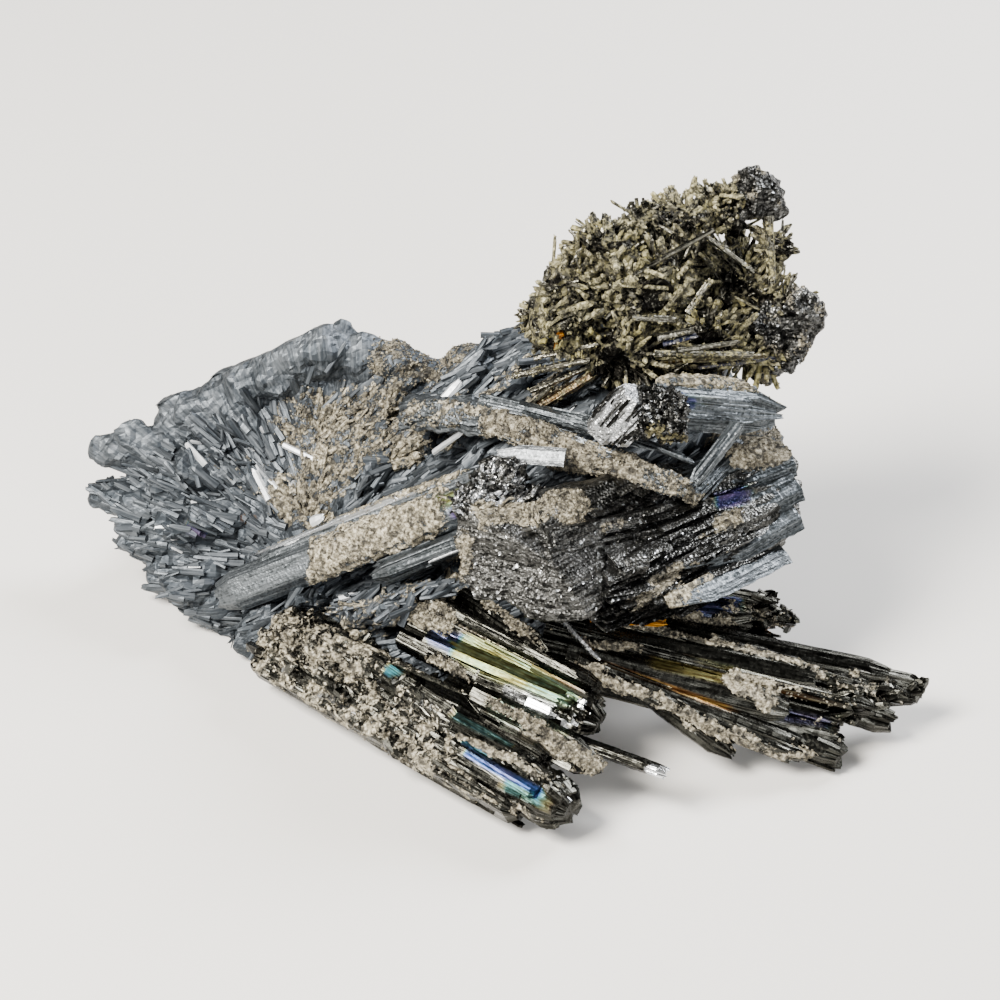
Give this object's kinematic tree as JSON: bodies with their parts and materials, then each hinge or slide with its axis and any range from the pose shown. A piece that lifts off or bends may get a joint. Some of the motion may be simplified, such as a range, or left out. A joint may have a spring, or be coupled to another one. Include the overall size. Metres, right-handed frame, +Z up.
{
  "type": "stibnite crystal spray",
  "caption": "Free-standing mineral specimen: flat striated stibnite blades radiate from an intergrown base, with a broken striated block and a crusted needle cluster on top.",
  "frame": {"origin": "The middle of the flat broken face under the intergrown base, on the surface the specimen rests on.", "axes": "+X to the right as displayed, along the longest extent; +Y away from the display side; +Z up."},
  "size_m": [0.0915, 0.0651, 0.0512],
  "materials": {
    "stibnite": "metallic lead-grey mineral, bright on flat faces",
    "tarnished_stibnite": "metallic mineral with blue, green and gold tarnish",
    "broken_stibnite": "dark striated or granular metallic mineral",
    "crusted_stibnite": "tan sandy crust over metallic mineral",
    "ochre_needles": "tan and yellow-ochre oxide crust on needles"
  },
  "bodies": {
    "root": {"intergrown_base": "stibnite", "ridge_blade": "crusted_stibnite", "striated_block": "broken_stibnite", "front_bundle": "tarnished_stibnite", "middle_bundle": "tarnished_stibnite", "slender_blades": "crusted_stibnite", "long_right_blades": "tarnished_stibnite", "upper_right_blades": "broken_stibnite", "curved_blade": "crusted_stibnite", "strut_blade": "broken_stibnite", "broken_crystal": "stibnite", "needle_cluster": "ochre_needles"}
  },
  "joints": []
}
